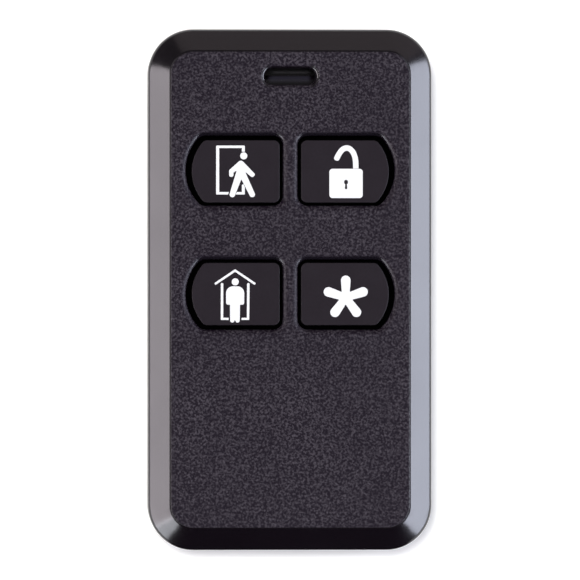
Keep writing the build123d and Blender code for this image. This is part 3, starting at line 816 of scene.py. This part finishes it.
@dataclass
class Print:
    """A pictogram printed on a key cap: a thin raised layer of ink with flat walls."""

    pictogram: Pictogram
    shift: Point = (-1.0, 0.3)
    drawing: Drawing = field(default_factory=Drawing)
    thickness: float = 0.02 * MILLIMETRE
    sunk: float = 0.01 * MILLIMETRE

    def build(self, centre: Point, level: float) -> bpy.types.Object:
        """Fills the outlines and gives the ink its thickness.

        Args:
            centre: x and y of the middle of the key opening.
            level: height of the key cap's top.

        Returns:
            The print.
        """
        curve = bpy.data.curves.new(f"outline_{self.pictogram.value}", "CURVE")
        curve.dimensions = "2D"
        curve.fill_mode = "BOTH"
        curve.extrude = (self.thickness + self.sunk) / 2 / self.drawing.unit
        for outline in self.drawing.outlines(self.pictogram):
            spline = curve.splines.new("POLY")
            spline.points.add(len(outline) - 1)
            places = np.zeros((len(outline), 4), np.float32)
            places[:, :2] = outline + self.shift
            places[:, 3] = 1.0
            spline.points.foreach_set("co", places.reshape(-1))
            spline.use_cyclic_u = True
        filled = bpy.data.objects.new(curve.name, curve)
        mesh = bpy.data.meshes.new_from_object(filled)
        points = vertex_places(mesh) * self.drawing.unit
        points += (*centre, level + (self.thickness - self.sunk) / 2)
        mesh.vertices.foreach_set("co", points.reshape(-1))
        bpy.data.objects.remove(filled)
        mesh.name = f"pictogram_{self.pictogram.value}"
        mesh.materials.clear()
        return linked(mesh.name, mesh)


@dataclass
class Key:
    """One key with its cap, its print, its silicone skirt and the snap dome of its switch."""

    pictogram: Pictogram
    skirt_wall: float = 0.35 * MILLIMETRE
    skirt_rings: int = 8
    skirt_corner_share: float = 0.4
    dome_wall: float = 0.06 * MILLIMETRE
    dome_rings: int = 10
    dome_steps: int = 48
    dome_start_share: float = 0.02

    @property
    def body(self) -> str:
        """The CAD body that the key moves with."""
        return f"key_{self.pictogram.value}"

    @property
    def joint(self) -> str:
        """The joint that the key moves on."""
        return f"press_{self.pictogram.value}"

    @property
    def travel(self) -> float:
        """How far the key goes down, in metres."""
        return next(joint["range_m"][1] for joint in frame["joints"] if joint["name"] == self.joint)

    def node(self, kind: str) -> str:
        """The CAD node of one kind of piece of this key."""
        return f"{kind}_{self.pictogram.value}"

    def build(self, palette: Palette, ink: bpy.types.Material) -> list[bpy.types.Object]:
        """Makes the key's pieces and dresses them.

        Args:
            palette: where the moulded materials come from.
            ink: the print's material.

        Returns:
            The new pieces.
        """
        button = self.node("button")
        cap = merged_copy(button, f"key_cap_{self.pictogram.value}")
        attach(cap, self.body)
        low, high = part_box(button)
        centre = (low + high) / 2
        printed = Print(self.pictogram).build((centre.x, centre.y), high.z)
        printed.data.materials.append(ink)
        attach(printed, self.body)
        skirt, dome = self.skirt(), self.dome()
        for piece, kind in ((cap, "button"), (skirt, "keypad_web"), (dome, "switch_dome")):
            piece.data.materials.append(palette.of_node(self.node(kind)))
            NODE_SLOTS[self.node(kind)]
            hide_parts(self.node(kind))
        return [cap, printed, skirt, dome]

    def skirt(self) -> bpy.types.Object:
        """Silicone skirt between the sheet and the pad.

        A rounded rectangle is carried up from the window to the pad. Its half sides and corner radius
        shrink with height by a cosine ramp, so that the skirt leaves the sheet and meets the pad at
        gentle angles, and the inner wall is the same surface moved in by the wall thickness.

        Returns:
            The skirt.
        """
        low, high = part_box(self.node("keypad_web"))
        pad_low, pad_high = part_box(self.node("keypad_pad"))
        centre = (low + high) / 2
        wide, narrow = (high - low) / 2, (pad_high - pad_low) / 2
        share = np.linspace(0, 1, self.skirt_rings)
        ramp = 0.5 - 0.5 * np.cos(math.pi * share)
        rings = []
        for inset, order in ((0.0, 1), (self.skirt_wall, -1)):
            half_x = wide.x + (narrow.x - wide.x) * ramp - inset
            half_y = wide.y + (narrow.y - wide.y) * ramp - inset
            radius = np.minimum(half_x, half_y) * self.skirt_corner_share
            height = low.z + (high.z - low.z) * share
            for x, y, r, z in list(zip(half_x, half_y, radius, height))[::order]:
                outline = rounded(((-x, -y, r), (x, -y, r), (x, y, r), (-x, y, r)))
                rings.append(np.column_stack((outline + (centre.x, centre.y), np.full(len(outline), z))))
        points = np.concatenate(rings)
        skirt = mesh_object(f"skirt_{self.pictogram.value}", points, ring_faces(len(rings), len(rings[0])))
        shade(skirt, SHELL_SHARP_ANGLE)
        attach(skirt, "case")
        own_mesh(skirt)
        return skirt

    def dome(self) -> bpy.types.Object:
        """Snap dome of the switch: a shallow cap of a sphere.

        The height falls from the middle to the rim with the square of the distance from the middle,
        and the underside is the same surface lowered by the wall thickness, down to the rim.

        Returns:
            The dome.
        """
        low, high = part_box(self.node("switch_dome"))
        centre = (low + high) / 2
        radius, height = (high.x - low.x) / 2, high.z - low.z
        share = np.linspace(self.dome_start_share, 1, self.dome_rings)
        angle = np.linspace(0, 2 * math.pi, self.dome_steps, endpoint=False)
        top = height * (1 - share**2)
        under = np.maximum(top - self.dome_wall, 0.0)
        under[-1] = 0.0
        reach = np.concatenate((share * radius, (share * (radius - self.dome_wall))[::-1]))
        level = np.concatenate((top, under[::-1]))
        points = np.stack((
            centre.x + reach[:, None] * np.cos(angle),
            centre.y + reach[:, None] * np.sin(angle),
            np.broadcast_to(low.z + level[:, None], (len(reach), self.dome_steps)),
        ), axis=-1).reshape(-1, 3)
        faces = ring_faces(len(reach), self.dome_steps)[:, ::-1]
        dome = mesh_object(f"snap_dome_{self.pictogram.value}", points, faces)
        shade(dome, SHELL_SHARP_ANGLE)
        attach(dome, "case")
        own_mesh(dome)
        return dome


@dataclass
class Inside:
    """The pieces that keep their CAD meshes: board, switches, cell, contacts, wire and screws."""

    def dress(self, palette: Palette, replaced: set[str]) -> int:
        """Gives each kept node its material.

        Args:
            palette: where the materials come from.
            replaced: nodes that another piece stands for.

        Returns:
            How many nodes were dressed.
        """
        kept = [name for name in frame["nodes"] if name not in replaced]
        for name in kept:
            slot = frame["nodes"][name].material_slots[0]
            slot.link = "OBJECT"
            slot.material = palette.of_node(name)
        return len(kept)


@dataclass(frozen=True)
class Lamp:
    """A flat lamp that faces the fob."""

    name: str
    azimuth: float
    elevation: float
    distance: float
    width: float
    height: float
    radiance: float
    colour: Colour = (1.0, 1.0, 1.0)
    in_gloss: bool = True
    on_matt: bool = True

    def place(self) -> bpy.types.Object:
        """Makes the lamp. Azimuth turns from +X towards +Y, and both angles are in degrees.

        Returns:
            The lamp.
        """
        light = bpy.data.lights.new(self.name, "AREA")
        light.shape = "RECTANGLE"
        light.size, light.size_y = self.width, self.height
        light.energy = self.radiance * math.pi * self.width * self.height
        light.color = self.colour
        lamp = linked(self.name, light)
        turn, rise = math.radians(self.azimuth), math.radians(self.elevation)
        back = Vector((math.cos(turn) * math.cos(rise), math.sin(turn) * math.cos(rise), math.sin(rise)))
        lamp.location = back * self.distance
        lamp.rotation_euler = back.to_track_quat("Z", "Y").to_euler()
        lamp.visible_camera = False
        lamp.visible_glossy = self.in_gloss
        lamp.visible_diffuse = self.on_matt
        return lamp


@dataclass
class Studio:
    """White floor, lamps and a dark card at the foot.

    Low strips at the sides and the top light the bevels. Dim glows and a ceiling show in gloss alone. A
    fill lamp and a small lamp overhead light the matt colours and cast the shadow.
    """

    floor_half: float = 3.0
    floor_white: Colour = (0.92, 0.91, 0.88)
    floor_roughness: float = 0.9
    floor_glow: float = 0.20
    camera_lens: float = 400.0
    sensor: float = 36.0
    frame_width: float = 64.73 * MILLIMETRE
    aim: Point = (-0.02 * MILLIMETRE, -0.033 * MILLIMETRE)
    aim_depth: float = 0.7 * MILLIMETRE
    camera_lean: float = 2.0
    sky_on_matt: float = 0.06
    sky_in_gloss: float = 0.08
    lamps: tuple[Lamp, ...] = (
        Lamp("left_strip", 190.0, 16.0, 0.5, 0.46, 0.18, 6.0, (1.0, 0.925, 0.985)),
        Lamp("left_end_strip", 225.0, 16.0, 0.5, 0.22, 0.18, 6.6, (0.91, 0.93, 1.0)),
        Lamp("right_strip", -11.0, 16.0, 0.5, 0.66, 0.18, 9.8, (0.81, 0.85, 1.0)),
        Lamp("top_strip", 76.0, 16.0, 0.5, 0.80, 0.18, 0.41, (1.0, 0.87, 0.88)),
        Lamp("left_glow", 180.0, 50.0, 0.5, 0.7, 0.25, 0.6, (1.0, 0.93, 1.0), on_matt=False),
        Lamp("right_glow", 0.0, 50.0, 0.5, 0.7, 0.25, 0.9, (0.85, 0.87, 1.0), on_matt=False),
        Lamp("ceiling", 90.0, 89.0, 0.6, 0.9, 0.9, 0.10, on_matt=False),
        Lamp("top_fill", 90.0, 35.0, 0.6, 0.6, 0.2, 1.9, in_gloss=False),
        Lamp("overhead", 135.0, 82.5, 1.5, 0.17, 0.17, 150.0, in_gloss=False),
    )
    card_start: float = 0.034
    card_start_half_width: float = 0.016
    card_distance: float = 0.22
    card_half_width: float = 0.15
    card_height: float = 0.2
    card_lift: float = 0.1 * MILLIMETRE
    card_black: Colour = (0.003, 0.003, 0.003)
    card_roughness: float = 1.0

    def build(self, face_level: float) -> None:
        """Sets up the floor, card, lamps, sky and camera.

        Args:
            face_level: height of the fob's front face.
        """
        self.floor()
        self.card()
        for lamp in self.lamps:
            lamp.place()
        self.sky()
        self.camera(face_level)
        view = bpy.context.scene.view_settings
        view.view_transform = "Standard"

    def floor(self) -> None:
        """Pale floor that looks white to the camera and still holds the fob's shadow."""
        half = self.floor_half
        corners = np.array(((-half, -half, 0), (half, -half, 0), (half, half, 0), (-half, half, 0)))
        floor = mesh_object("floor", corners, np.array(((0, 1, 2, 3),)))
        nodes = Nodes("floor_white")
        nodes.matt(self.floor_white, self.floor_roughness)
        seen = nodes.times(self.seen(nodes), self.floor_glow)
        glow = nodes.add("ShaderNodeEmission", Strength=seen)
        both = nodes.add("ShaderNodeAddShader")
        nodes.feed(both.inputs[0], nodes.shader.outputs[0])
        nodes.feed(both.inputs[1], glow.outputs[0])
        nodes.feed(nodes.output.inputs["Surface"], both.outputs[0])
        floor.data.materials.append(nodes.material)

    def seen(self, nodes: Nodes) -> bpy.types.NodeSocket:
        """1 for rays from the camera, off a gloss or through glass, and 0 for those that light matt ones."""
        path = nodes.add("ShaderNodeLightPath").outputs
        mirrored = nodes.math("MAXIMUM", path["Is Glossy Ray"], path["Is Transmission Ray"])
        return nodes.math("MAXIMUM", path["Is Camera Ray"], mirrored)

    def card(self) -> None:
        """Dark folded card that only gloss sees: it widens below the picture, and then stands up."""
        x, y, z = self.card_half_width, -self.card_distance, self.card_height
        near_x, near_y, lift = self.card_start_half_width, -self.card_start, self.card_lift
        corners = np.array((
            (-near_x, near_y, lift), (near_x, near_y, lift),
            (-x, y, lift), (x, y, lift), (-x, y, z), (x, y, z),
        ))
        card = mesh_object("dark_card", corners, np.array(((0, 1, 3, 2), (2, 3, 5, 4))))
        nodes = Nodes("card_black")
        nodes.matt(self.card_black, self.card_roughness)
        card.data.materials.append(nodes.material)
        card.visible_camera = False
        card.visible_diffuse = False
        card.visible_shadow = False

    def sky(self) -> None:
        """White to the camera, dimmer in reflections and dimmer still as light."""
        world = bpy.data.worlds.new("studio")
        world.use_nodes = True
        bpy.context.scene.world = world
        graph = Graph(world.node_tree)
        path = graph.add("ShaderNodeLightPath").outputs
        shown = graph.math("MAXIMUM", path["Is Camera Ray"], path["Is Transmission Ray"])
        gloss = graph.times(path["Is Glossy Ray"], self.sky_in_gloss)
        strength = graph.math("MAXIMUM", graph.math("MAXIMUM", shown, gloss), self.sky_on_matt)
        background = graph.tree.nodes["Background"].inputs
        graph.feed(background["Strength"], strength)
        graph.feed(background["Color"], (1.0, 1.0, 1.0, 1.0))

    def camera(self, face_level: float) -> None:
        """Camera above the face, leaning a little to the left, with the photograph's width in its frame."""
        camera = bpy.data.cameras.new("camera")
        camera.lens = self.camera_lens
        camera.sensor_width = self.sensor
        made = linked("camera", camera)
        distance = self.camera_lens / self.sensor * self.frame_width
        lean = math.radians(self.camera_lean)
        aimed_at = Vector((*self.aim, face_level - self.aim_depth))
        made.location = aimed_at + Vector((-math.sin(lean), 0.0, math.cos(lean))) * distance
        made.rotation_euler = (0.0, -lean, 0.0)
        bpy.context.scene.camera = made


def keypad_area(margin: float) -> Area:
    """The area of the keys, grown by a margin in metres on each side."""
    corners = [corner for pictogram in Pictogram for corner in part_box(f"button_{pictogram.value}")]
    xs, ys = [corner.x for corner in corners], [corner.y for corner in corners]
    half_x, half_y = (max(xs) - min(xs)) / 2, (max(ys) - min(ys)) / 2
    return Area(min(xs) + half_x, min(ys) + half_y, half_x + margin, half_y + margin)


def slot_sides_area() -> Area:
    """The area of the long sides of the key-ring slot, about the place that the record gives it."""
    slot = next(mount for mount in frame["record"]["mounts"] if mount["name"] == "key_ring_slot")
    x, y, _ = slot["pos_m"]
    return Area(x, y, SLOT_SIDES_HALF_X, SLOT_SIDES_HALF_Y)


def main() -> None:
    """Builds the covers, the keys, the dressing of what is inside, and the studio."""
    face_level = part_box("front_cover")[1].z
    cap_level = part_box("button_disarm")[1].z
    palette = Palette(face_level, cap_level, keypad_area(KEYPAD_MARGIN), slot_sides_area())
    ink = INK.material()
    covers = (Cover("front_cover", "front_shell"), Cover("back_cover", "back_shell"))
    made = [cover.build(palette) for cover in covers]
    replaced = {cover.node for cover in covers}
    for pictogram in Pictogram:
        key = Key(pictogram)
        made += key.build(palette, ink)
        replaced |= {key.node(kind) for kind in ("button", "keypad_web", "switch_dome")}
    for piece in made:
        log.info("%s: %d faces", piece.name, len(piece.data.polygons))
    log.info("%d CAD nodes dressed", Inside().dress(palette, replaced))
    Studio().build(face_level)


if __name__ == "__main__":
    main()
